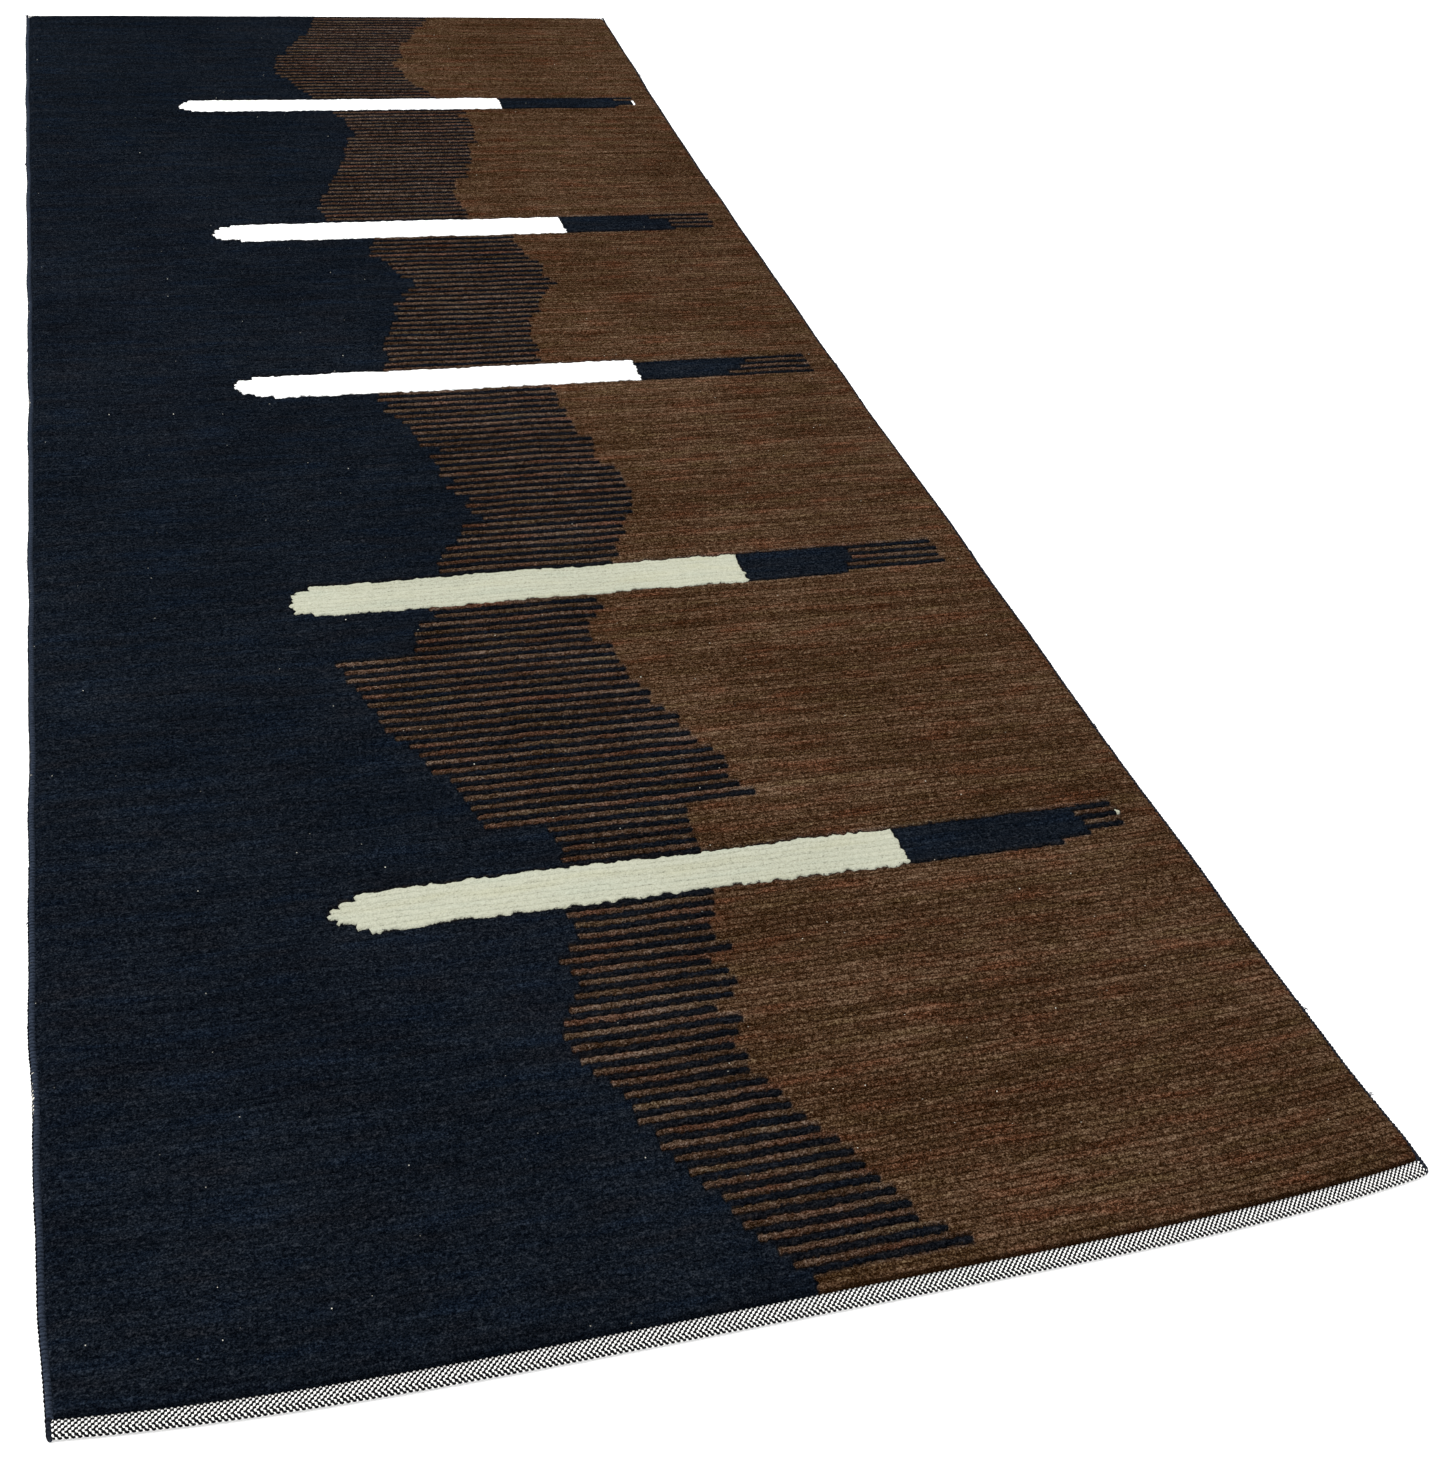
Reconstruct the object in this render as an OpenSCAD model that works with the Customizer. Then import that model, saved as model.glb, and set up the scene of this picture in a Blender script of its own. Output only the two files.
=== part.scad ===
// Runner rug: wool pile knotted row by row on a woven ground cloth.
// X runs across, from the navy side to the brown side. Y runs along, from the near end
// to the far end. Z is up, and the rug lies on z = 0. All sizes are in millimetres.

/* [Overall] */
// Width over the two overcast sides, at the corners
rug_w = 900; // [600:10:1200]
// Length over the two folded ends, along the middle
rug_l = 2468; // [1600:4:3200]
// How far the brown side is drawn in at mid-length
side_pull = 19; // [0:1:30]
// How far the navy side swells out between its two corners
side_swell = 8; // [0:1:12]
// How far the corners of the near end are held back from its middle
near_bow = 16; // [0:1:20]
// How far the corners of the far end are held back from its middle
far_bow = 2; // [0:1:10]

/* [Ground cloth] */
// Thickness of the woven ground cloth
ground_t = 3; // [2.6:0.1:5]

/* [Pile] */
// Height of the cut pile above the ground cloth
pile_h = 7; // [4:0.5:12]
// Parting between two colours that lie side by side
parting = 0.3; // [0.1:0.1:0.6]
// How unevenly the ends of the blended rows are placed
row_scatter = 2.4; // [0:0.2:4]
// Width of one knot
knot_w = 3.2; // [2.5:0.1:4]

/* [Sides] */
// Diameter over the overcasting
side_d = 5; // [4:0.2:6]
// Diameter of the cord inside the overcasting
cord_d = 3.4; // [2:0.1:3.6]
// Play between the cord and its overcasting
cord_play = 0.1; // [0.05:0.05:0.2]

/* [Ends] */
// Width of the flat-woven band beyond the pile
band_w = 14; // [10:1:14]
// Thickness of one layer of the folded band
hem_t = 2.5; // [1.6:0.1:2.6]
// Width of the gap that the hem stitches cross
seam_w = 2.5; // [1.5:0.5:4]
// Length of each corner wrap along the end
wrap_w = 4; // [3:0.5:12]
// Thickness of the hem thread
thread_d = 0.9; // [0.5:0.1:1.2]
// Distance between hem stitches
stitch_pitch = 15; // [8:1:30]

/* [Hidden] */
$fn = 16;

// The drawing size that the outlines below are laid out in
draw_w = 900;
draw_l = 2468;
kx = rug_w / draw_w;
ky = rug_l / draw_l;

// Places along the rug count from the line through the two near corners
near_y = -16;
pile_y0 = near_y + band_w;
far_y = near_y + draw_l;
pile_y1 = far_y - band_w;
mid_y = (near_y + far_y) / 2;

// Knot rows: [row number, place along the rug]. Rows close up and open out a little.
row_marks = [[0, pile_y0], [61, 362], [68, 405], [128, 772], [136, 820], [194, 1183],
             [202, 1232], [259, 1584], [267, 1634], [330, 2024], [337, 2067], [397, pile_y1]];

// First and last row number of each blended field, near end first
fields = [[0, 61], [68, 128], [136, 194], [202, 259], [267, 330], [337, 397]];
// Whether the first row of a field belongs to the brown side
brown_leads = [false, false, false, true, false, false];

// Where the brown rows begin in the navy: [place along, place across]
brown_from = [
    [-2, 455], [25, 440], [40, 432], [75, 414], [98, 402], [112, 392], [150, 379], [185, 371],
    [205, 350], [235, 346], [255, 353], [285, 369], [305, 360], [330, 374], [362, 378],
    [405, 385], [456, 382], [458, 331], [488, 326], [525, 315], [537, 299], [575, 291],
    [590, 277], [640, 263], [690, 246], [703, 248], [705, 315], [735, 320], [750, 326],
    [757, 339], [772, 338],
    [820, 360], [848, 359], [856, 369], [875, 371], [882, 384], [907, 395], [914, 400],
    [918, 420], [924, 405], [956, 405], [980, 387], [992, 399], [1005, 386], [1045, 384],
    [1056, 400], [1066, 376], [1110, 369], [1135, 358], [1146, 350], [1158, 361],
    [1168, 346], [1183, 347],
    [1232, 360], [1256, 369], [1285, 371], [1320, 379], [1345, 389], [1368, 399],
    [1395, 400], [1405, 413], [1417, 408], [1430, 422], [1445, 428], [1453, 438],
    [1462, 418], [1505, 413], [1520, 405], [1530, 392], [1560, 395], [1584, 399],
    [1634, 354], [1650, 350], [1680, 347], [1700, 349], [1725, 359], [1760, 371],
    [1800, 388], [1830, 395], [1875, 403], [1900, 410], [1920, 414], [1933, 425],
    [1942, 427], [1950, 419], [1980, 418], [2000, 411], [2024, 406],
    [2067, 382], [2090, 378], [2105, 370], [2120, 364], [2148, 363], [2154, 348],
    [2190, 342], [2208, 341], [2220, 348], [2246, 347], [2255, 363], [2275, 366],
    [2300, 380], [2335, 388], [2350, 403], [2375, 411], [2405, 421], [2438, 431]];

// Where the navy rows end in the brown
navy_to = [
    [-2, 575], [13, 562], [35, 535], [75, 520], [100, 508], [125, 487], [160, 476], [178, 460],
    [190, 470], [212, 457], [226, 476], [240, 458], [262, 483], [286, 468], [300, 483],
    [312, 474], [362, 488],
    [405, 495], [462, 493], [464, 556], [480, 548], [495, 541], [520, 543], [545, 526],
    [570, 519], [590, 516], [598, 502], [620, 500], [640, 494], [690, 490], [700, 473],
    [725, 476], [745, 484], [752, 496], [772, 494],
    [820, 522], [838, 529], [862, 538], [888, 549], [912, 562], [950, 568], [998, 566],
    [1004, 552], [1045, 553], [1060, 561], [1070, 543], [1140, 539], [1183, 537],
    [1232, 534], [1262, 540], [1287, 543], [1298, 535], [1325, 545], [1350, 552],
    [1360, 567], [1388, 569], [1400, 574], [1412, 584], [1428, 588], [1436, 598],
    [1455, 592], [1480, 588], [1499, 597], [1508, 580], [1530, 579], [1540, 574],
    [1584, 573],
    [1634, 527], [1690, 527], [1725, 522], [1740, 531], [1760, 533], [1768, 549],
    [1795, 558], [1803, 551], [1815, 563], [1845, 569], [1885, 571], [1890, 593],
    [1905, 586], [1930, 592], [1975, 593], [1990, 590], [1997, 573], [2004, 590],
    [2024, 588],
    [2067, 556], [2092, 553], [2115, 543], [2125, 533], [2155, 529], [2182, 526],
    [2198, 519], [2212, 511], [2228, 523], [2240, 537], [2285, 537], [2300, 540],
    [2315, 554], [2345, 567], [2380, 578], [2393, 590], [2420, 600], [2438, 595]];

// The five pale bars, near end first: rows, stepped pointed end, square end
bar_rows = [[61, 68], [128, 136], [194, 202], [259, 267], [330, 337]];
bar_tips = [[228, 218, 205, 200, 204, 211, 224],
            [235, 220, 218, 217, 218, 219, 221, 234],
            [241, 221, 211, 206, 203, 204, 208, 222],
            [241, 220, 212, 211, 212, 214, 220, 233],
            [214, 204, 198, 197, 199, 202, 209]];
bar_ends = [650, 643, 643, 645, 649];
// The navy tail beyond each bar, row by row: the long ones are its prongs
tail_ends = [[787, 813, 848, 813, 847, 811, 848],
             [745, 846, 747, 845, 757, 846, 757, 845],
             [845, 747, 843, 762, 845, 771, 844, 650],
             [790, 843, 787, 845, 787, 843, 764, 844],
             [817, 822, 845, 821, 845, 821, 851]];
// Rows of the pale knots at a tail's tip, counted from the bar's first row
tip_rows = [[4, 5], [], [], [], [2, 5]];

// How far the brown side is drawn in, from 0 to 1 along the rug
pull_marks = [[-16, 0], [20, 0.03], [60, 0.2], [90, 0.3], [150, 0.4], [240, 0.5],
              [385, 0.63], [500, 0.76], [900, 0.83], [1000, 0.92], [1100, 1], [1350, 0.98],
              [1640, 0.93], [1810, 0.88], [2000, 0.74], [2195, 0.42], [2425, 0.1],
              [2440, 0.03], [2452, 0]];
// How far the navy side swells out, from 0 to 1 along the rug. It fades out over swell_w.
swell_marks = [[-16, 0], [30, 0.3], [70, 0.5], [130, 0.6], [230, 0.8], [300, 1], [450, 1],
               [560, 0.85], [850, 0.8], [1200, 0.62], [2100, 0.6], [2400, 0.5], [2452, 0.35]];
swell_w = 150;

// Every colour change falls between two knots
function to_knot(x) = side_d + knot_w * round((x - side_d) / knot_w);
function scatter(r) = row_scatter * sin(137 * r * r);

// Outer face of the brown side
function width_at(y) = draw_w - side_pull / kx * lookup(y, pull_marks);

// The corners are held back by the tight overcasting, so the ends bow outward
function corner(x) = pow(abs(2 * x / draw_w - 1), 4);
function bow(x, y) = corner(x) * (near_bow * exp(-(y - near_y) / 230)
                                  - far_bow * exp(-(far_y - y) / 230));
function swell(x, y) = side_swell * lookup(y, swell_marks) * max(0, 1 - x / swell_w);
function place(x, y) = [kx * x - rug_w / 2 + side_swell / 2 - swell(x, y),
                        ky * (y - mid_y) + bow(x, y)];
function lift(x, y, z) = [place(x, y)[0], place(x, y)[1], z];

function row_y(r) = lookup(r, row_marks);
function row_mid(r) = (row_y(r) + row_y(r + 1)) / 2;

// Which field or bar a row lies in, or -1
function field_of(r) = max([for (i = [0:5]) r >= fields[i][0] && r < fields[i][1] ? i : -1]);
function bar_of(r) = max([for (i = [0:4]) r >= bar_rows[i][0] && r < bar_rows[i][1] ? i : -1]);

// In a field each row changes colour once: brown rows early, navy rows late
// The first two rows of all are both brown
function is_brown(r) = r == 0
    || ((r - fields[field_of(r)][0]) % 2 == 1) != brown_leads[field_of(r)];
function change_x(r) = to_knot(lookup(row_mid(r), is_brown(r) ? brown_from : navy_to) + scatter(r));

function bar_tip(r) = to_knot(bar_tips[bar_of(r)][r - bar_rows[bar_of(r)][0]]);
function navy_end(r) = bar_of(r) < 0 ? change_x(r) : bar_tip(r);
function has_tip(r) = bar_of(r) >= 0 && len(tip_rows[bar_of(r)]) > 0
    && r - bar_rows[bar_of(r)][0] >= tip_rows[bar_of(r)][0]
    && r - bar_rows[bar_of(r)][0] < tip_rows[bar_of(r)][1];
function tail_end(r) = to_knot(tail_ends[bar_of(r)][r - bar_rows[bar_of(r)][0]]);
tip_x = to_knot(847);
function brown_start(r) = bar_of(r) < 0 ? change_x(r) : has_tip(r) ? tip_x + knot_w : tail_end(r);

// One stepped side of a pile piece: x(row) moved by dx, rows a to b. A step's tread moves by
// half a parting, toward the piece itself: out is 1 when the piece lies at smaller x.
function steps(ends, a, b, out) = [
    for (r = [a:b - 1])
        let (x = ends[r - a] - out * parting / 2,
             lo = r == a ? row_y(a) + parting / 2
                : row_y(r) + (out * (ends[r - a] - ends[r - a - 1]) > 0 ? 1 : -1) * parting / 2,
             hi = r == b - 1 ? row_y(b) - parting / 2
                : row_y(r + 1) + (out * (ends[r + 1 - a] - ends[r - a]) > 0 ? 1 : -1) * parting / 2)
        each [[x, lo], [x, hi]]];

// A straight edge across the rug, cut into n so that it can follow the bowed end
function across(x0, x1, y, n = 10) = [for (i = [0:n]) [x0 + (x1 - x0) * i / n, y]];

function flip(list) = [for (i = [len(list) - 1:-1:0]) list[i]];
function placed(list) = [for (p = list) place(p[0], p[1])];

left_x = side_d;
function right_x(y) = width_at(y) - side_d;

// Row numbers of the pile piece that belongs to a field, with the bar rows before it
function first_row(k) = k == 0 ? 0 : bar_rows[k - 1][0];
function last_row(k) = fields[k][1];

module pile(points) {
    translate([0, 0, ground_t])
        linear_extrude(pile_h)
            polygon(placed(points));
}

module navy_pile(k) {
    a = first_row(k);
    b = last_row(k);
    ends = [for (r = [a:b - 1]) navy_end(r)];
    lo = row_y(a) + parting / 2;
    hi = row_y(b) - parting / 2;
    side = [for (r = [b - 3:-6:a + 1]) [left_x, row_y(r)]];
    color("#18202c")
        pile(concat(across(left_x, ends[0] - 20, lo, 20), steps(ends, a, b, 1),
                    across(ends[b - a - 1] - 20, left_x, hi, 20), side));
}

module brown_pile(k) {
    a = first_row(k);
    b = last_row(k);
    starts = [for (r = [a:b - 1]) brown_start(r)];
    lo = row_y(a) + parting / 2;
    hi = row_y(b) - parting / 2;
    side = [for (r = [a + 1:6:b - 3]) [right_x(row_y(r)), row_y(r)]];
    color("#513824")
        pile(concat(across(right_x(lo), starts[0] + 20, lo), steps(starts, a, b, -1),
                    across(starts[b - a - 1] + 20, right_x(hi), hi), flip(side)));
}

// The two long edges of a bar or a tail lie on its first and last row lines
module pale_bar(k, tone) {
    a = bar_rows[k][0];
    b = bar_rows[k][1];
    x1 = to_knot(bar_ends[k]) - parting / 2;
    tips = [for (r = [a:b - 1]) bar_tip(r)];
    color(tone)
        pile(concat(across(x1, tips[0] + 20, row_y(a) + parting / 2),
                    steps(tips, a, b, -1),
                    across(tips[b - a - 1] + 20, x1, row_y(b) - parting / 2)));
}

module bar_tail(k) {
    a = bar_rows[k][0];
    b = bar_rows[k][1];
    n = tail_ends[k][b - a - 1] < bar_ends[k] + 20 ? b - 1 : b;
    ends = [for (r = [a:n - 1]) has_tip(r) ? tip_x : tail_end(r)];
    x0 = to_knot(bar_ends[k]) + parting / 2;
    color("#151c28")
        pile(concat([[x0, row_y(a) + parting / 2]], steps(ends, a, n, 1),
                    [[x0, row_y(n) - parting / 2]]));
}

module tip_knot(k, tone) {
    a = bar_rows[k][0] + tip_rows[k][0];
    b = bar_rows[k][0] + tip_rows[k][1];
    x0 = tip_x + parting / 2;
    x1 = tip_x + knot_w - parting / 2;
    lo = row_y(a) + parting / 2;
    hi = row_y(b) - parting / 2;
    color(tone)
        pile([[x0, lo], [x1, lo], [x1, hi], [x0, hi]]);
}

module ground_cloth() {
    near = across(left_x, right_x(pile_y0), pile_y0, 24);
    far = across(right_x(pile_y1), left_x, pile_y1, 24);
    marks = [for (i = [1:39]) pile_y0 + (pile_y1 - pile_y0) * i / 40];
    color("#3a3a3c")
        linear_extrude(ground_t)
            polygon(placed(concat(near, [for (y = marks) [right_x(y), y]], far,
                                  [for (y = flip(marks)) [left_x, y]])));
}

// A closed skin over rings of points: each ring is one cross-section
module skin(rings) {
    n = len(rings[0]);
    m = len(rings);
    polyhedron(
        points = [for (ring = rings) each ring],
        faces = concat(
            [[for (i = [0:n - 1]) i]],
            [for (j = [0:m - 2], i = [0:n - 1])
                [j * n + i, (j + 1) * n + i, (j + 1) * n + (i + 1) % n, j * n + (i + 1) % n]],
            [[for (i = [n - 1:-1:0]) (m - 1) * n + i]]),
        convexity = 4);
}

// A tube with an open bore, closed by a flat ring at each end
module tube_skin(outer, inner) {
    n = len(outer[0]);
    m = len(outer);
    t = n * m;
    polyhedron(
        points = concat([for (ring = outer) each ring], [for (ring = inner) each ring]),
        faces = concat(
            [for (j = [0:m - 2], i = [0:n - 1])
                [j * n + i, (j + 1) * n + i, (j + 1) * n + (i + 1) % n, j * n + (i + 1) % n]],
            [for (j = [0:m - 2], i = [0:n - 1])
                [t + j * n + i, t + j * n + (i + 1) % n,
                 t + (j + 1) * n + (i + 1) % n, t + (j + 1) * n + i]],
            [for (i = [0:n - 1]) [i, (i + 1) % n, t + (i + 1) % n, t + i]],
            [for (i = [0:n - 1]) let (s = (m - 1) * n)
                [s + i, t + s + i, t + s + (i + 1) % n, s + (i + 1) % n]]),
        convexity = 4);
}

// End band and fold, in a section through the end: [distance in from the end, height]
fold_r = hem_t;
// The band drops to the ground cloth over this length, just above the hem stitches
drop_w = 4;
band_under = thread_d + 0.3;
fold_end = hem_t - 0.05 - (hem_t + 0.05 - band_under) * (drop_w - seam_w) / drop_w;
band_section = concat([[band_w, band_under], [band_w, ground_t], [band_w - drop_w, 2 * hem_t - 0.1]],
                      [for (i = [0:4]) [fold_r - fold_r * sin(i * 22.5),
                                        hem_t + hem_t * cos(i * 22.5)]],
                      [[0, hem_t + 0.05], [band_w - drop_w, hem_t + 0.05]]);
fold_section = concat([[band_w - seam_w, 0], [band_w - seam_w, fold_end],
                       [band_w - drop_w - 0.1, hem_t - 0.05], [0, hem_t - 0.05]],
                      [for (i = [0:4]) [fold_r - fold_r * cos(i * 22.5),
                                        hem_t - 0.1 - (hem_t - 0.1) * sin(i * 22.5)]]);
stations = 28;
function station_x(i, near) = let (y = near ? near_y : far_y)
    wrap_w + (width_at(y) - 2 * wrap_w) * i / stations;

module end_strip(section, near) {
    ring = near ? flip(section) : section;
    skin([for (i = [0:stations])
        [for (p = ring) lift(station_x(i, near), near ? near_y + p[0] : far_y - p[0], p[1])]]);
}

module near_end_band() { color("#7d7c78") end_strip(band_section, true); }
module far_end_band() { color("#7d7c78") end_strip(band_section, false); }
module near_hem_fold() { color("#6c6b68") end_strip(fold_section, true); }
module far_hem_fold() { color("#6c6b68") end_strip(fold_section, false); }

// Slanting stitches hold the turned-under edge to the ground cloth
module hem_stitches(near) {
    n = floor((rug_w - 60) / stitch_pitch);
    y = near ? near_y + band_w - seam_w / 2 : far_y - band_w + seam_w / 2;
    color("#2a2f3a")
        for (i = [0:n]) {
            p = place(draw_w / 2 + (i - n / 2) * stitch_pitch / kx, y);
            translate([p[0], p[1], thread_d / 2 + 0.15])
                rotate([90, 0, near ? 30 : -30])
                    cylinder(d = thread_d, h = seam_w / cos(30) + 0.4, center = true);
        }
}
module near_hem_stitches() { hem_stitches(true); }
module far_hem_stitches() { hem_stitches(false); }

// Side cord and its overcasting, swept along the side in the stretch that the pile covers
side_steps = 36;
function ring_at(left, y, r) = [for (i = [0:11])
    let (x = side_d / 2 + r * cos(i * 30))
        lift(left ? x : width_at(y) - x, y, side_d / 2 + r * sin(i * 30))];
function side_rings(left, r) = [for (j = [0:side_steps])
    let (y = pile_y0 + (pile_y1 - pile_y0) * j / side_steps, ring = ring_at(left, y, r))
        left ? ring : flip(ring)];

module edge_cord(left) {
    color("#c9c4b4")
        skin(side_rings(left, cord_d / 2));
}
module overcasting(left) {
    color("#1a2230")
        tube_skin(side_rings(left, side_d / 2), side_rings(left, cord_d / 2 + cord_play));
}
module left_edge_cord() { edge_cord(true); }
module right_edge_cord() { edge_cord(false); }
module left_overcasting() { overcasting(true); }
module right_overcasting() { overcasting(false); }

// Each corner is bound by closing wraps over the end of the hem
wrap_section = [[band_w, 0.5], [band_w, side_d - 0.5], [band_w - 0.6, side_d], [2, side_d - 0.4],
                [0.6, side_d - 1.4], [0, 2.2], [0.6, 0.6], [1.6, 0], [band_w - 0.6, 0]];
module corner_wrap(left, near) {
    ring = left == near ? flip(wrap_section) : wrap_section;
    y = near ? near_y : far_y;
    color("#141a24")
        skin([for (i = [0:4])
            let (x = (wrap_w - 0.1) * i / 4,
                 s = i == 0 ? 0.7 : i == 1 ? 0.95 : 1)
            [for (p = ring)
                lift(left ? x : width_at(y) - x,
                     near ? near_y + band_w - (band_w - p[0]) * s
                          : far_y - band_w + (band_w - p[0]) * s,
                     side_d / 2 + (p[1] - side_d / 2) * s)]]);
}
module corner_wrap_near_left() { corner_wrap(true, true); }
module corner_wrap_near_right() { corner_wrap(false, true); }
module corner_wrap_far_left() { corner_wrap(true, false); }
module corner_wrap_far_right() { corner_wrap(false, false); }

ground_cloth();
near_end_band();
far_end_band();
near_hem_fold();
far_hem_fold();
near_hem_stitches();
far_hem_stitches();
left_edge_cord();
right_edge_cord();
left_overcasting();
right_overcasting();
corner_wrap_near_left();
corner_wrap_near_right();
corner_wrap_far_left();
corner_wrap_far_right();
navy_pile(0);  // navy_pile_1
navy_pile(1);  // navy_pile_2
navy_pile(2);  // navy_pile_3
navy_pile(3);  // navy_pile_4
navy_pile(4);  // navy_pile_5
navy_pile(5);  // navy_pile_6
brown_pile(0);  // brown_pile_1
brown_pile(1);  // brown_pile_2
brown_pile(2);  // brown_pile_3
brown_pile(3);  // brown_pile_4
brown_pile(4);  // brown_pile_5
brown_pile(5);  // brown_pile_6
pale_bar(0, "#cdcdb6");  // cream_bar_1
pale_bar(1, "#cdcdb6");  // cream_bar_2
pale_bar(2, "#f2f2ee");  // white_bar_3
pale_bar(3, "#f2f2ee");  // white_bar_4
pale_bar(4, "#f2f2ee");  // white_bar_5
bar_tail(0);  // bar_tail_1
bar_tail(1);  // bar_tail_2
bar_tail(2);  // bar_tail_3
bar_tail(3);  // bar_tail_4
bar_tail(4);  // bar_tail_5
tip_knot(0, "#cdcdb6");  // tip_knot_1
tip_knot(4, "#f2f2ee");  // tip_knot_5
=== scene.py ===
import math

import bmesh
import bpy
import numpy as np
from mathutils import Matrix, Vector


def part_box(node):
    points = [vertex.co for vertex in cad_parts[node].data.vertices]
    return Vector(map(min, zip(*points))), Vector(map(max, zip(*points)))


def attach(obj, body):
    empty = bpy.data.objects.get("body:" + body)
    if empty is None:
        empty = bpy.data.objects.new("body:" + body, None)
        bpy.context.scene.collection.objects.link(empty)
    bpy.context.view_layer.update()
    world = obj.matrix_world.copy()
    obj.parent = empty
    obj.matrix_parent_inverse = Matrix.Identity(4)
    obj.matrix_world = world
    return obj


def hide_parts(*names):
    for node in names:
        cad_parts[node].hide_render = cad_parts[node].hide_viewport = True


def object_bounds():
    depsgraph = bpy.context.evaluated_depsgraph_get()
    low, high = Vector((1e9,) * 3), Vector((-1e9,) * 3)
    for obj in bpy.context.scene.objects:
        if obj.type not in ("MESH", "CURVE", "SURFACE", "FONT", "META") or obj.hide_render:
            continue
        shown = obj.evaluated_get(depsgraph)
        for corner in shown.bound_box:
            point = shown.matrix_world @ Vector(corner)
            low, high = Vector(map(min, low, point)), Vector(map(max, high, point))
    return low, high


# %% [markdown]
# # A hand-knotted runner rug
# The rug is a woven ground cloth with rows of wool knots tied into it. It has overcast
# sides, flat-woven bands at the two ends, and each band is folded under and stitched.
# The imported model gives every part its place, so it is loaded first and never changed.

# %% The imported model
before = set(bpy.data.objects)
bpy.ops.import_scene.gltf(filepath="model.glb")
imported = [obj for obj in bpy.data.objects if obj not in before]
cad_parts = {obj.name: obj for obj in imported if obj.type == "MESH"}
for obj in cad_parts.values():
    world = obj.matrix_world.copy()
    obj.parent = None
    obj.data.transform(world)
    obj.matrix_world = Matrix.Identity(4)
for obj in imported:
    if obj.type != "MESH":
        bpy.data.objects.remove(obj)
cad_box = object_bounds()
low, high = cad_box
print("nodes:", len(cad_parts), "box:", [round(v, 4) for v in (*low, *high)])

# %% [markdown]
# ## The camera
# The rug is seen from a standing photographer's height over its near left corner, turned
# a little and tilted a little.

# %% Camera
camera_data = bpy.data.cameras.new("camera")
camera_data.lens = 46.52
camera_data.clip_start = 0.05
camera = bpy.data.objects.new("camera", camera_data)
camera.location = (-0.3373, -1.8648, 0.9813)
camera.rotation_euler = [math.radians(a) for a in (52.549, -5.315, -16.231)]
bpy.context.scene.collection.objects.link(camera)
bpy.context.scene.camera = camera

# %% [markdown]
# ## The layout of the pattern
# A knotted rug is drawn on squared paper: a row number and a knot number name every
# knot. These tables hold that drawing in millimetres. Places across the rug count from
# its left side, and places along it count from the line through its two near corners.

# %% Sizes
MM = 0.001
side_swell = 8
rug_w = round((high.x - low.x) / MM) - side_swell
rug_l = round((high.y - low.y) / MM)
ground_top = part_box("ground_cloth")[1].z / MM
pile_top = high.z / MM
side_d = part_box("left_overcasting")[1].z / MM
near_y = -16
far_y = near_y + rug_l
band_w = 14
pile_y0 = near_y + band_w
pile_y1 = far_y - band_w
mid_y = (near_y + far_y) / 2
knot_w = 3.2
print("rug", rug_w, "x", rug_l, "mm, pile from", round(ground_top, 2), "to", round(pile_top, 2))

# %% Rows, fields and bars
row_marks = [(0, pile_y0), (61, 362), (68, 405), (128, 772), (136, 820), (194, 1183),
             (202, 1232), (259, 1584), (267, 1634), (330, 2024), (337, 2067), (397, pile_y1)]
fields = [(0, 61), (68, 128), (136, 194), (202, 259), (267, 330), (337, 397)]
bar_rows = [(61, 68), (128, 136), (194, 202), (259, 267), (330, 337)]
rows = fields[-1][1]
print(rows, "rows of knots, with", len(bar_rows), "bars between", len(fields), "fields")

# %% Where brown rows begin in the navy: (along the rug, across it)
brown_from = [
    (-2, 455), (25, 440), (40, 432), (75, 414), (98, 402), (112, 392), (150, 379), (185, 371),
    (205, 350), (235, 346), (255, 353), (285, 369), (305, 360), (330, 374), (362, 378),
    (405, 385), (456, 382), (458, 331), (488, 326), (525, 315), (537, 299), (575, 291),
    (590, 277), (640, 263), (690, 246), (703, 248), (705, 315), (735, 320), (750, 326),
    (757, 339), (772, 338),
    (820, 360), (848, 359), (856, 369), (875, 371), (882, 384), (907, 395), (914, 400),
    (918, 420), (924, 405), (956, 405), (980, 387), (992, 399), (1005, 386), (1045, 384),
    (1056, 400), (1066, 376), (1110, 369), (1135, 358), (1146, 350), (1158, 361),
    (1168, 346), (1183, 347),
    (1232, 360), (1256, 369), (1285, 371), (1320, 379), (1345, 389), (1368, 399),
    (1395, 400), (1405, 413), (1417, 408), (1430, 422), (1445, 428), (1453, 438),
    (1462, 418), (1505, 413), (1520, 405), (1530, 392), (1560, 395), (1584, 399),
    (1634, 354), (1650, 350), (1680, 347), (1700, 349), (1725, 359), (1760, 371),
    (1800, 388), (1830, 395), (1875, 403), (1900, 410), (1920, 414), (1933, 425),
    (1942, 427), (1950, 419), (1980, 418), (2000, 411), (2024, 406),
    (2067, 382), (2090, 378), (2105, 370), (2120, 364), (2148, 363), (2154, 348),
    (2190, 342), (2208, 341), (2220, 348), (2246, 347), (2255, 363), (2275, 366),
    (2300, 380), (2335, 388), (2350, 403), (2375, 411), (2405, 421), (2438, 431)]

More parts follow.
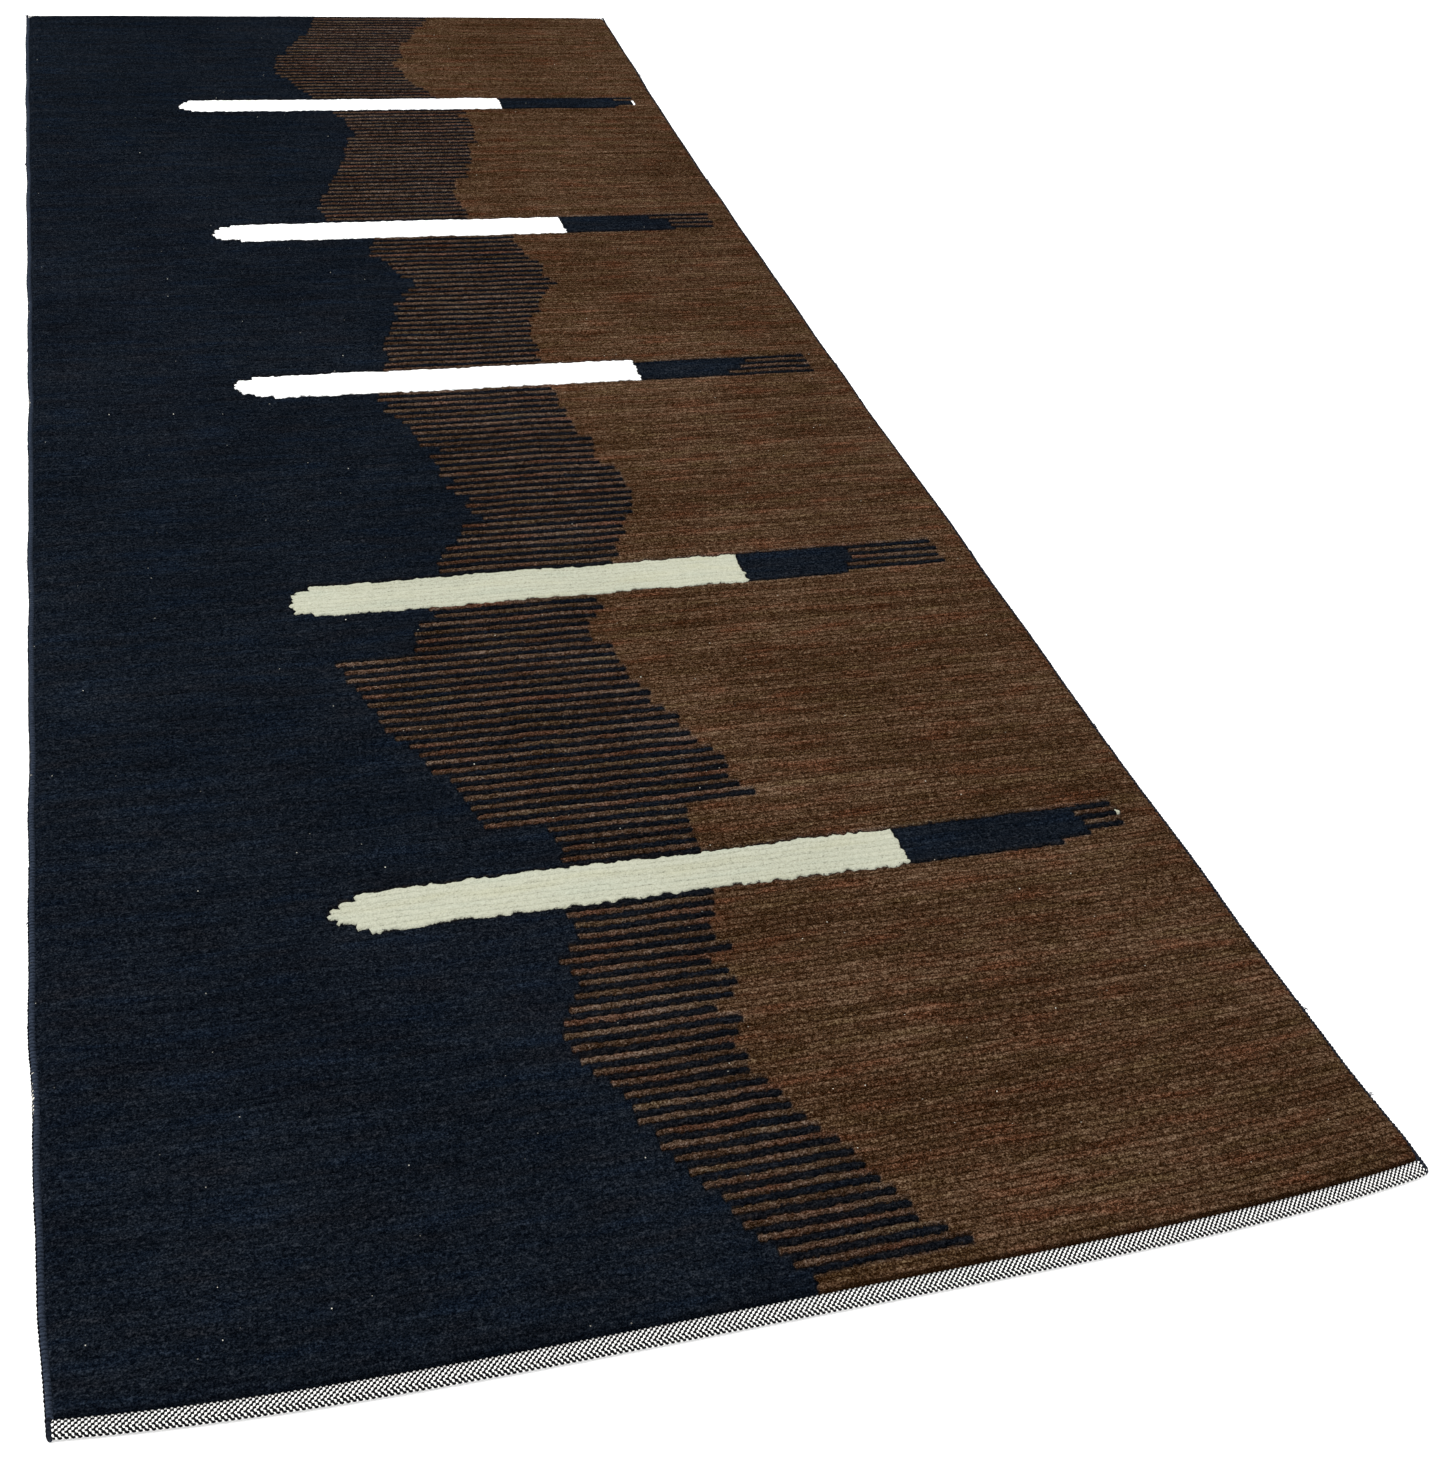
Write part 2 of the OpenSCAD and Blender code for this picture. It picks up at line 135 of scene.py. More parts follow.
# %% Where navy rows end in the brown: (along the rug, across it)
navy_to = [
    (-2, 575), (13, 562), (35, 535), (75, 520), (100, 508), (125, 487), (160, 476), (178, 460),
    (190, 470), (212, 457), (226, 476), (240, 458), (262, 483), (286, 468), (300, 483),
    (312, 474), (362, 488),
    (405, 495), (462, 493), (464, 556), (480, 548), (495, 541), (520, 543), (545, 526),
    (570, 519), (590, 516), (598, 502), (620, 500), (640, 494), (690, 490), (700, 473),
    (725, 476), (745, 484), (752, 496), (772, 494),
    (820, 522), (838, 529), (862, 538), (888, 549), (912, 562), (950, 568), (998, 566),
    (1004, 552), (1045, 553), (1060, 561), (1070, 543), (1140, 539), (1183, 537),
    (1232, 534), (1262, 540), (1287, 543), (1298, 535), (1325, 545), (1350, 552),
    (1360, 567), (1388, 569), (1400, 574), (1412, 584), (1428, 588), (1436, 598),
    (1455, 592), (1480, 588), (1499, 597), (1508, 580), (1530, 579), (1540, 574),
    (1584, 573),
    (1634, 527), (1690, 527), (1725, 522), (1740, 531), (1760, 533), (1768, 549),
    (1795, 558), (1803, 551), (1815, 563), (1845, 569), (1885, 571), (1890, 593),
    (1905, 586), (1930, 592), (1975, 593), (1990, 590), (1997, 573), (2004, 590),
    (2024, 588),
    (2067, 556), (2092, 553), (2115, 543), (2125, 533), (2155, 529), (2182, 526),
    (2198, 519), (2212, 511), (2228, 523), (2240, 537), (2285, 537), (2300, 540),
    (2315, 554), (2345, 567), (2380, 578), (2393, 590), (2420, 600), (2438, 595)]

# %% The pale bars and their navy tails: places across the rug, row by row
bar_tips = [[228, 218, 205, 200, 204, 211, 224],
            [235, 220, 218, 217, 218, 219, 221, 234],
            [241, 221, 211, 206, 203, 204, 208, 222],
            [241, 220, 212, 211, 212, 214, 220, 233],
            [214, 204, 198, 197, 199, 202, 209]]
bar_ends = [650, 643, 643, 645, 649]
tail_ends = [[787, 813, 848, 813, 847, 811, 848],
             [745, 846, 747, 845, 757, 846, 757, 845],
             [845, 747, 843, 762, 845, 771, 844, 643],
             [790, 843, 787, 845, 787, 843, 764, 844],
             [817, 822, 845, 821, 845, 821, 851]]
tip_rows = [(4, 5), None, None, None, (2, 5)]
tip_x = 847
print("bars from", [min(tips) for tips in bar_tips], "to", bar_ends)

# %% How far the sides stray from straight lines: (along the rug, share of the most)
pull_marks = [(-16, 0), (20, 0.03), (60, 0.2), (90, 0.3), (150, 0.4), (240, 0.5),
              (385, 0.63), (500, 0.76), (900, 0.83), (1000, 0.92), (1100, 1), (1350, 0.98),
              (1640, 0.93), (1810, 0.88), (2000, 0.74), (2195, 0.42), (2425, 0.1),
              (2440, 0.03), (2452, 0)]
side_pull = 19
swell_marks = [(-16, 0), (30, 0.3), (70, 0.5), (130, 0.6), (230, 0.8), (300, 1), (450, 1),
               (560, 0.85), (850, 0.8), (1200, 0.62), (2100, 0.6), (2400, 0.5), (2452, 0.35)]


def read_table(table, at):
    """The value of a two-column table at a place, along straight lines between its rows."""
    return np.interp(at, [a for a, _ in table], [b for _, b in table])


def width_at(y):
    """How wide the rug is at a place along it."""
    return rug_w - side_pull * read_table(pull_marks, y)


# %% [markdown]
# ## From the drawing to the cloth
# The overcasting is tighter than the weave, so it holds the corners back and draws the
# brown side in, while the navy side swells out a little between its corners. The near
# right corner is rounded off. Every part built here is bent by the same rule, and so they
# still meet; the cords and hem stitches keep their packed shapes.

# %% The bend of the whole cloth
near_bow, far_bow, bow_fade = 16, -2, 230
swell_w = 150
corner_r, corner_cut = 13, 3
sway_size, sway_w = 0.35, 45


def bow(x, y):
    """How far a place moves along the rug because the corners are held back."""
    corner = np.abs(2 * x / rug_w - 1) ** 4
    near, far = np.exp(-(y - near_y) / bow_fade), np.exp(-(far_y - y) / bow_fade)
    return corner * (near_bow * near + far_bow * far)


def corner_round(x, y):
    """How far the near right corner is cut back, fading away along the side."""
    return corner_cut * np.clip((x - rug_w) / corner_r + 1, 0, 1) ** 2.5 * np.exp(-(y - near_y) / 9)


def swell(x, y):
    """How far the navy side stands out, fading away towards the middle of the rug."""
    return side_swell * read_table(swell_marks, y) * np.clip(1 - x / swell_w, 0, None)


def sway(x, y):
    """The two sides wander a little, as hand-sewn edges do."""
    left = np.exp(-((x / sway_w) ** 2)) * (np.sin(y / 31) + np.sin(y / 19 + 1))
    right = np.exp(-(((width_at(y) - x) / sway_w) ** 2)) * (np.sin(y / 27 + 2) + np.sin(y / 43))
    return sway_size * (left + right)


def place(x, y):
    """A place on the drawing as a place in the model, in millimetres."""
    px = x - rug_w / 2 + side_swell / 2 - swell(x, y) + sway(x, y)
    return px, y - mid_y + bow(x, y) + corner_round(x, y)


print("near corners at", [[round(float(v), 1) for v in place(x, near_y)] for x in (0, rug_w)])

# %% Where a row changes colour
change_scatter = 2.4


def nearest_knot(x):
    """The knot line nearest to a place across the rug."""
    return side_d + knot_w * round((x - side_d) / knot_w)


def group_of(row, groups):
    """The number of the group of rows that a row lies in, or None."""
    return next((i for i, (a, b) in enumerate(groups) if a <= row < b), None)


def is_brown(row):
    """Every other row of a field is a brown one, which reaches into the navy. The fourth
    field starts with one, and so does the whole rug."""
    field = group_of(row, fields)
    odd = (row - fields[field][0]) % 2 == 1
    return row == 0 or odd != (field == 3)


def change_x(row):
    """Where a row of a field changes from navy to brown."""
    middle = read_table(row_marks, row + 0.5)
    scatter = change_scatter * math.sin(math.radians(137 * row * row))
    return nearest_knot(read_table(brown_from if is_brown(row) else navy_to, middle) + scatter)


# %% The rows, from left to right
knots = int((rug_w - 2 * side_d) / knot_w)
turn_x = 700


def reach_at(y):
    """How much the knots right of turn_x are closed up by the pull of the side."""
    return (width_at(y) - side_d - turn_x) / (side_d + knot_w * knots - turn_x)


def knot_at(x, row):
    """The number of knots to the left of a place, in a row."""
    y = read_table(row_marks, row + 0.5)
    if x > turn_x:
        x = turn_x + (x - turn_x) / reach_at(y)
    return min(knots, max(0, round((x - side_d) / knot_w)))


def row_spans(row):
    """The colours of a row: (colour, first knot, knot after the last)."""
    k = group_of(row, bar_rows)
    if k is None:
        names, cuts = ["navy", "brown"], [change_x(row)]
    else:
        i = row - bar_rows[k][0]
        names = ["navy", "pale", "navy", "brown"]
        cuts = [nearest_knot(bar_tips[k][i]), nearest_knot(bar_ends[k]), tail_ends[k][i]]
        if tip_rows[k] and tip_rows[k][0] <= i < tip_rows[k][1]:
            names, cuts = names[:3] + ["pale", "brown"], cuts[:2] + [tip_x, tip_x + knot_w]
    marks = [0] + [knot_at(x, row) for x in cuts] + [knots]
    return list(zip(names, marks, marks[1:]))


chart = [row_spans(row) for row in range(rows)]
print("row 30:", chart[30], "row 64:", chart[64])

# %% [markdown]
# ## The surface of the pile
# Cut pile is a soft surface with a furrow between two rows and a small tuft for each
# knot. A grid with three steps to a row and two to a knot can carry both. All pieces of
# pile take their points from this one sheet, so colours that lie side by side meet
# exactly, and the finer fibres are left to the material.

# %% Soft noise
chance = np.random.default_rng(20)


def soft_noise(x, y, cell_x, cell_y):
    """Smooth random bumps between -1 and 1, about one cell across."""
    u = (x - x.min()) / cell_x
    v = (y - y.min()) / cell_y
    grid = chance.uniform(-1, 1, (int(v.max()) + 2, int(u.max()) + 2))
    i, j = u.astype(int), v.astype(int)
    s, t = u - i, v - j
    s, t = s * s * (3 - 2 * s), t * t * (3 - 2 * t)
    a = grid[j, i] * (1 - s) + grid[j, i + 1] * s
    b = grid[j + 1, i] * (1 - s) + grid[j + 1, i + 1] * s
    return a * (1 - t) + b * t


# %% Where colours meet
ROW_STEPS, KNOT_STEPS = 3, 2
paint = {"navy": 0, "brown": 1, "pale": 2}
chart_colours = np.array([[paint[name] for name, a, b in spans for _ in range(a, b)]
                          for spans in chart])


def borders():
    """For every point of the sheet: does the colour change across the row line or the knot
    line there, and is one of the colours round it pale?"""
    cells = np.repeat(np.repeat(chart_colours, ROW_STEPS, 0), KNOT_STEPS, 1)
    ring = np.pad(cells, 1, mode="edge")
    a, b, c, d = ring[:-1, :-1], ring[:-1, 1:], ring[1:, :-1], ring[1:, 1:]
    any_pale = np.maximum.reduce([a, b, c, d]) == paint["pale"]
    return (a != c) | (b != d), (a != b) | (c != d), any_pale


def spread(mask):
    """1 where the mask is set, and 0.5 on the points before and after it along the rug."""
    near = mask.astype(float)
    near[1:] = np.maximum(near[1:], mask[:-1] * 0.5)
    near[:-1] = np.maximum(near[:-1], mask[1:] * 0.5)
    return near


row_border, knot_border, pale = borders()
border = row_border | knot_border
meeting, pale_rim = spread(border), spread(border & pale)
print("points on a border:", int(border.sum()), "of", border.size)

# %% Rounded row ends
nose, pinch = 0.7, 0.8


def noses():
    """How far the end of each row is pushed out in the middle and drawn in at its corners."""
    push = np.zeros(row_border.shape)
    for row, spans in enumerate(chart):
        ends = [(spans[1][1], -1 if len(spans) > 2 or is_brown(row) else 1)]
        if len(spans) > 3:
            ends.append((spans[-1][1], 1))
            q, c = row * ROW_STEPS, spans[2][1] * KNOT_STEPS
            push[q + 1:q + 3, c] += chance.uniform(-1.6, 1.6)
        for knot, side in ends:
            q, c = row * ROW_STEPS, knot * KNOT_STEPS
            push[q + 1:q + 3, c] += side * nose
            push[[q, q + 3], c] -= side * pinch
    return push


# %% The sheet of points


def pile_sheet():
    """Every point of the pile's surface, in millimetres."""
    q, c = np.meshgrid(np.arange(rows * ROW_STEPS + 1), np.arange(knots * KNOT_STEPS + 1),
                       indexing="ij")
    y = read_table(row_marks, q / ROW_STEPS)
    x = side_d + knot_w * c / KNOT_STEPS
    x = np.where(x > turn_x, turn_x + (x - turn_x) * reach_at(y), x)
    from_side = np.minimum(c, knots * KNOT_STEPS - c) * knot_w / KNOT_STEPS
    from_end = np.minimum(q, rows * ROW_STEPS - q) * 2.0
    inside = (from_side > 0) & (from_end > 0)

    # Heights: furrows, dents between knots, a gentle unevenness and rounded outer edges.
    depth = 0.65 + 0.3 * soft_noise(x, y, 60, 30)
    furrow = np.where(q % ROW_STEPS == 0, np.where(row_border, 1.5, depth), 0)
    furrow += np.where(knot_border, 0.6, 0) + np.where(c % KNOT_STEPS == 0, 0.14, 0)
    z = pile_top - 0.15 - furrow
    z += 0.45 * soft_noise(x, y, 130, 160) + 0.3 * soft_noise(x, y, 26, 14)
    z += chance.normal(0, 0.14, z.shape)
    z -= 2.4 * np.exp(-((from_side / 4) ** 2)) + 2.0 * np.exp(-((from_end / 3.5) ** 2))

    # Shifts: rows that wave a little, and ragged borders where loose tufts lean over.
    wave = 0.75 * soft_noise(x, y, 30, 50) + 0.4 * soft_noise(x, y, 11, 6)
    patch = np.clip(soft_noise(x, y, 210, 260), 0, 1) ** 2
    wave += 2.2 * patch * soft_noise(x, y, 55, 120)
    calm = np.clip(from_end / 14, 0, 1) * np.clip(from_side / 20, 0, 1)
    jitter = 0.22 + 0.42 * border
    ragged = meeting * soft_noise(x, y, 3.4, 4) * 0.9
    ragged += pale_rim * np.clip(soft_noise(x, y, 5, 5) * 2.6 + soft_noise(x, y, 17, 9), -1.4, 1.4)
    x = x + (noses() + chance.uniform(-1, 1, x.shape) * jitter) * inside
    y = y + (wave * calm + ragged + chance.uniform(-1, 1, x.shape) * jitter) * inside
    px, py = place(x, y)
    return np.stack([px, py, z], axis=-1)


sheet = pile_sheet()
print("pile sheet", sheet.shape, "top", round(float(sheet[..., 2].max()), 2), "mm")

# %% [markdown]
# ## Cutting the pile into its colours
# Each colour's piece starts as a plain grid of quads. The quads that belong to another
# colour are deleted row by row, and the rest takes its points from the sheet. Along the
# outer edges the border is extruded down to the ground cloth, as the last tufts hang.

# %% Helper: finish a mesh as a named piece


def add_mesh(name, mesh, finish, replaced, smooth=True):
    """Makes an object that rides on the rug and stands for CAD nodes."""
    mesh.materials.clear()
    mesh.materials.append(finish)
    mesh.polygons.foreach_set("use_smooth", [smooth] * len(mesh.polygons))
    piece = bpy.data.objects.new(name, mesh)
    bpy.context.scene.collection.objects.link(piece)
    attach(piece, "root")
    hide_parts(*replaced)
    return piece


def add_piece(name, made, finish, replaced, smooth=True):
    """The same for a bmesh, which is used up."""
    mesh = bpy.data.meshes.new(name)
    made.to_mesh(mesh)
    made.free()
    return add_mesh(name, mesh, finish, replaced, smooth)


# %% Helper: one piece of pile


def pile_piece(name, finish, node, first, last, nth):
    """The nth colour of the rows first to last - 1."""
    span = [chart[r][nth][1:] for r in range(first, last)]
    k0, k1 = min(a for a, _ in span), max(b for _, b in span)
    wide, tall = (k1 - k0) * KNOT_STEPS, (last - first) * ROW_STEPS
    bm = bmesh.new()
    bmesh.ops.create_grid(bm, x_segments=wide, y_segments=tall, size=0.5)
    weave = bm.verts.layers.float_vector.new("weave")
    for v in bm.verts:
        c = k0 * KNOT_STEPS + round((v.co.x + 0.5) * wide)
        q = first * ROW_STEPS + round((v.co.y + 0.5) * tall)
        v[weave] = (c / KNOT_STEPS, q / ROW_STEPS, meeting[q, c])
        v.co = sheet[q, c] * MM
    waste = []
    for f in bm.faces:
        marks = [v[weave] for v in f.verts]
        row = int(min(m.y for m in marks) + 0.01)
        a, b = span[row - first]
        if not a <= min(m.x for m in marks) + 0.01 < b:
            waste.append(f)
    bmesh.ops.delete(bm, geom=waste, context="FACES")
    for axis, last_mark in ((0, knots), (1, rows)):
        for mark, side in ((0, -1), (last_mark, 1)):
            rim = [e for e in bm.edges if e.is_boundary
                   and all(abs(v[weave][axis] - mark) < 0.01 for v in e.verts)]
            if rim:
                hang_down(bm, rim, axis, side)
    return add_piece(name, bm, finish, [node])


def hang_down(bm, rim, axis, side):
    """Extrudes a border down to the ground cloth, leaning outward a little."""
    made = bmesh.ops.extrude_edge_only(bm, edges=rim)["geom"]
    for v in (g for g in made if isinstance(g, bmesh.types.BMVert)):
        v.co.z = (ground_top - 0.4) * MM
        v.co[axis] += side * 0.4 * MM


# %% [markdown]
# ## Finishes
# A finish is a node tree. Writing it as Python expressions keeps the arithmetic
# readable: a wrapped socket can be added, multiplied or compared like a number.

# %% Shader arithmetic


class Wire:
    """An output socket that can be used in an expression."""

    def __init__(self, finish, socket):
        self.finish, self.socket = finish, socket

    def maths(self, operation, a, b=0.0):
        return self.finish.node("ShaderNodeMath", {"operation": operation}, {0: a, 1: b})

    def __add__(self, other):
        return self.maths("ADD", self, other)

    def __sub__(self, other):
        return self.maths("SUBTRACT", self, other)

    def __rsub__(self, other):
        return self.maths("SUBTRACT", other, self)

    def __mul__(self, other):
        return self.maths("MULTIPLY", self, other)

    def __gt__(self, other):
        return self.maths("GREATER_THAN", self, other)

    def __lt__(self, other):
        return self.maths("LESS_THAN", self, other)

    def __pow__(self, other):
        return self.maths("POWER", self, other)

    def __abs__(self):
        return self.maths("ABSOLUTE", self)

    def floor(self):
        return self.maths("FLOOR", self)

    def fraction(self):
        return self.maths("FRACT", self)

    __radd__ = __add__
    __rmul__ = __mul__


# %% One class for every finish


class Finish:
    """A material under construction, with one method that makes every node."""

    def __init__(self, name, roughness, gloss=0.0):
        self.material = bpy.data.materials.new(name)
        self.material.use_nodes = True
        self.tree = self.material.node_tree
        self.shader = self.tree.nodes["Principled BSDF"]
        self.shader.inputs["Roughness"].default_value = roughness
        self.shader.inputs["Specular IOR Level"].default_value = gloss

    def node(self, kind, settings, inputs, out=0):
        made = self.tree.nodes.new(kind)
        for key, value in settings.items():
            if key == "stops":
                elements = made.color_ramp.elements
                while len(elements) < len(value):
                    elements.new(0.5)
                for element, (at, tone) in zip(elements, value):
                    element.position = at
                    element.color = (*tone, 1)
            else:
                setattr(made, key, value)
        for key, value in inputs.items():
            self.plug(made.inputs[key], value)
        return Wire(self, made.outputs[out])

    def plug(self, socket, value):
        if isinstance(value, Wire):
            self.tree.links.new(value.socket, socket)
        else:
            socket.default_value = value

    def mix(self, amount, a, b, blend="MIX"):
        """Two colours mixed by a number."""
        a, b = [(*c, 1) if isinstance(c, tuple) else c for c in (a, b)]
        return self.node("ShaderNodeMix", {"data_type": "RGBA", "blend_type": blend},
                         {0: amount, 6: a, 7: b}, 2)

    def ramp(self, value, stops):
        return self.node("ShaderNodeValToRGB", {"stops": stops}, {0: value})

    def split(self, vector):
        """The three numbers of a vector."""
        parts = self.node("ShaderNodeSeparateXYZ", {}, {0: vector})
        return [Wire(self, socket) for socket in parts.socket.node.outputs]

    def join(self, x, y, z=0.0):
        return self.node("ShaderNodeCombineXYZ", {}, {0: x, 1: y, 2: z})

    def noise(self, vector, scale, detail=2.0, twist=0.0):
        """Soft noise about 0: most of it lies between -0.25 and 0.25."""
        return self.node("ShaderNodeTexNoise", {}, {"Vector": vector, "Scale": scale,
                                                    "Detail": detail, "Distortion": twist}) - 0.5

    def dice(self, vector):
        """A random number from -0.5 to 0.5 for each different vector."""
        return self.node("ShaderNodeTexWhiteNoise", {"noise_dimensions": "3D"},
                         {"Vector": vector}) - 0.5

    def object_mm(self):
        """Object coordinates in millimetres."""
        at = self.node("ShaderNodeTexCoord", {}, {}, 3)
        return self.node("ShaderNodeVectorMath", {"operation": "SCALE"}, {0: at, "Scale": 1000.0})

    def attribute(self, name, out=1):
        return self.node("ShaderNodeAttribute", {"attribute_name": name}, {}, out)

    def relief(self, height, depth, strength=1.0):
        """Sends a height to the normal, where 1 is as high as depth in millimetres."""
        bump = self.node("ShaderNodeBump", {}, {"Height": height, "Distance": depth * MM,
                                                "Strength": strength})
        self.plug(self.shader.inputs["Normal"], bump)

    def colour(self, wire):
        self.plug(self.shader.inputs["Base Color"], wire)


# %% [markdown]
# ### Wool
# Hand-spun wool is never one colour. Each row has its own tone, which drifts along the
# row as the dye lot changes, and single fibres catch the light, which is painted in, as is
# the shade between tufts and in the gaps between rows. Rows and knots are read from the
# weave attribute: its x counts knots, its y counts rows, and its z rises to 1 where another
# colour begins. There the two colours take on a tint of each other, and fibres of each
# colour cross the border; on the pale bars' side both are painted shade instead.

# %% Wool


def wool(name, tones, grain, streak, row_tone, warm, cool, furrow, meet, stray_fibres_and_shade, fleck_share=0.0):
    """Cut wool pile. Tones run from the darkest fibres to the lightest. Grain, streak and
    row_tone are how much single fibres, stretches of a row and whole rows differ; the fibre
    grain is partly the wool's own tone and partly painted fibre-level light and shade. The
    furrow argument is how much shade is painted into the gaps between rows. Warm and cool
    tint patches of the dye, and meet tints the wool where it touches another colour. The next
    colour is that of fibres that have crossed over from there. On the pale wools meet and that
    colour are instead painted shade along the borders of the bars. Flecks of pale lint lie in
    fleck_share of the cells of a loose grid."""
    f = Finish(name, 0.95)
    at = f.object_mm()
    knot, row, border = f.split(f.attribute("weave"))
    row_id = row.floor()
    x, y, z = f.split(at)
    # Fibres, clumps and tuft are partly the wool's own fibre tone and partly painted fibre-level light
    # and shade; tuft paints each tuft end lighter in its middle and darker in the gaps between them.
    fibres = f.noise(f.join(x * 0.9, y, z), 0.9, 3.0, 0.4)
    hair_glints = f.noise(at, 1.3, 1.0, 1.5)
    clumps = f.noise(f.join(x * 0.6, y, z), 0.42, 2.0, 0.8)
    tuft = f.node("ShaderNodeTexVoronoi", {}, {"Vector": at, "Scale": 0.62})
    thread = f.noise(f.join(x * 0.02, y * 0.5 + row * 0.4, 9.0), 1.0, 3.0)
    drift = f.noise(f.join(knot * 0.06, row_id * 7.3), 1.0, 2.0)
    short = f.noise(f.join(knot * 0.3, row_id * 3.7), 1.0, 1.0)
    hue = f.noise(f.join(knot * 0.045, row * 0.45, 5.0), 1.0, 2.0)
    # Valley is 1 in the gaps between rows. Furrow times valley is painted shade in those gaps, and
    # valley also dents the relief.
    valley = abs(row.fraction() - 0.5) ** 6 * 64
    value = (0.5 + fibres * grain + clumps * grain * 0.6 + (0.4 - tuft) * grain * 0.25
             + (drift + short * 0.5 + thread) * streak + f.dice(f.join(row_id, 3.0)) * row_tone
             + f.noise(at, 0.006, 1.0) * 0.35 - valley * furrow)
    tone = f.ramp(value, [(i / (len(tones) - 1), t) for i, t in enumerate(tones)])
    tone = f.mix((hue * 6 - 0.12) * (hue > 0.02), tone, warm, "MULTIPLY")
    tone = f.mix((hue * -6 - 0.12) * (hue < -0.02), tone, cool, "MULTIPLY")
    # Painted highlight: single hairs are lightened towards the lightest tone where they catch the
    # light.
    tone = f.mix((hair_glints > 0.14) * 0.45, tone, tones[-1])
    tone = f.mix(border, tone, meet, "MULTIPLY")
    # Fibres of the other colour cross the border here; on the pale wools this colour is a painted shade
    # outline along the bars.
    tone = f.mix((border + clumps * 2.4) > 1.05, tone, stray_fibres_and_shade)
    if fleck_share:
        grid = {"Vector": at, "Scale": 0.08}
        from_centre = f.node("ShaderNodeTexVoronoi", {}, grid)
        pick = f.split(f.node("ShaderNodeTexVoronoi", {}, grid, 1))[0]
        fleck = (from_centre < 0.04) * (pick < fleck_share) * (pick * (0.9 / fleck_share) + 0.1)
        tone = f.mix(fleck, tone, (0.62, 0.6, 0.52))
    f.colour(tone)
    f.relief(fibres * 1.2 + clumps + (0.5 - tuft) * 0.8 - valley * 0.5, 1.0, 0.8)
    return f.material


# %% The dark wools
navy = wool("navy wool",
            tones=[(0.0007, 0.0013, 0.0026), (0.0021, 0.0034, 0.0058), (0.0043, 0.0063, 0.01),
                   (0.0086, 0.0115, 0.0165), (0.02, 0.0242, 0.031)],
            grain=2.6, streak=0.35, row_tone=0.1, furrow=0.15,
            warm=(1.0, 0.86, 0.8), cool=(0.85, 1.03, 1.22),
            meet=(0.9, 0.62, 0.46), stray_fibres_and_shade=(0.012, 0.009, 0.007), fleck_share=0.3)
brown = wool("brown wool",
             tones=[(0.01, 0.0036, 0.0008), (0.025, 0.0107, 0.0041), (0.0515, 0.0265, 0.0133),
                    (0.092, 0.0525, 0.03), (0.17, 0.112, 0.072)],
             grain=2.5, streak=0.6, row_tone=0.2, furrow=0.5,
             warm=(1.1, 0.8, 0.72), cool=(0.9, 0.95, 0.8),
             meet=(0.82, 1.0, 1.38), stray_fibres_and_shade=(0.009, 0.007, 0.007), fleck_share=0.5)
print("made", navy.name, "and", brown.name)

# %% The pale wools
# On the pale wools, meet and the colour of crossing fibres are painted shade along the borders of the
# bars: a slight grey darkening and a dark grey.
cream = wool("cream wool",
             tones=[(0.21, 0.215, 0.16), (0.35, 0.355, 0.275), (0.415, 0.42, 0.33),
                    (0.46, 0.465, 0.37), (0.5, 0.505, 0.41)],
             grain=1.1, streak=0.15, row_tone=0.07, furrow=0.18,
             warm=(1.0, 0.99, 0.95), cool=(0.97, 0.99, 1.0),
             meet=(0.95, 0.95, 0.95), stray_fibres_and_shade=(0.12, 0.12, 0.1))
white = wool("white wool",
             tones=[(0.88, 0.88, 0.86), (0.96, 0.96, 0.95), (1.0, 1.0, 0.99), (1.0, 1.0, 1.0),
                    (1.0, 1.0, 1.0)],
             grain=1.4, streak=0.2, row_tone=0.1, furrow=0.3,
             warm=(1.0, 0.99, 0.97), cool=(0.98, 0.99, 1.0),
             meet=(0.97, 0.97, 0.97), stray_fibres_and_shade=(0.35, 0.35, 0.35))
print("made", cream.name, "and", white.name)

# %% The navy and brown fields
for k, (_, last) in enumerate(fields):
    first = bar_rows[k - 1][0] if k else 0
    for word, shade, nth in (("navy", navy, 0), ("brown", brown, -1)):
        field = pile_piece(f"{word}_tufts_{k + 1}", shade, f"{word}_pile_{k + 1}",
                           first, last, nth)
        print(field.name, len(field.data.polygons), "faces")

# %% The bars, their tails and the knots beyond two of the tails
for k, (first, last) in enumerate(bar_rows):
    shade, word = (cream, "cream") if k < 2 else (white, "white")
    pile_piece(f"{word}_tufts_{k + 1}", shade, f"{word}_bar_{k + 1}", first, last, 1)
    pile_piece(f"tail_tufts_{k + 1}", navy, f"bar_tail_{k + 1}", first, last, 2)
    if tip_rows[k]:
        pile_piece(f"tip_tufts_{k + 1}", shade, f"tip_knot_{k + 1}",
                   first + tip_rows[k][0], first + tip_rows[k][1], 3)
print("bars made")

# %% [markdown]
# ## The ground cloth
# The back of a knotted rug shows the same drawing, because every knot goes round a pair
# of warps and can be seen from below. The cloth is a closed sheet: a grid on the floor
# side, with a dye for each face, is walled up at its border and capped on top.

# %% Finish of the back
gap = (0.02, 0.02, 0.022)


def knot_backs():
    """The backs of the knots: two small bumps each, with dark wefts between the rows."""
    f = Finish("ground cloth", 0.95)
    at = f.object_mm()
    knot, row, _ = f.split(f.attribute("weave"))
    node = abs((knot * 2).fraction() - 0.5) ** 2 * 4
    line = abs(row.fraction() - 0.5) ** 4 * 16
    worn = f.noise(at, 0.7, 2.0)
    dye = f.mix(0.5 + worn * 1.6, f.attribute("dye", 0), (0.5, 0.5, 0.5), "OVERLAY")
    dye = f.mix(line * 0.8, dye, gap)
    f.colour(f.mix(node * 0.35, dye, gap))
    f.relief((1 - node) * 0.5 + (1 - line) + worn, 0.7, 0.8)
    return f.material


backing = knot_backs()
dyes = [(0.012, 0.018, 0.03, 1), (0.075, 0.042, 0.023, 1), (0.55, 0.55, 0.44, 1)]
print("back finish made, for", len(dyes), "dyes")

# %% The sheet itself
cloth_x0 = side_d - 0.3


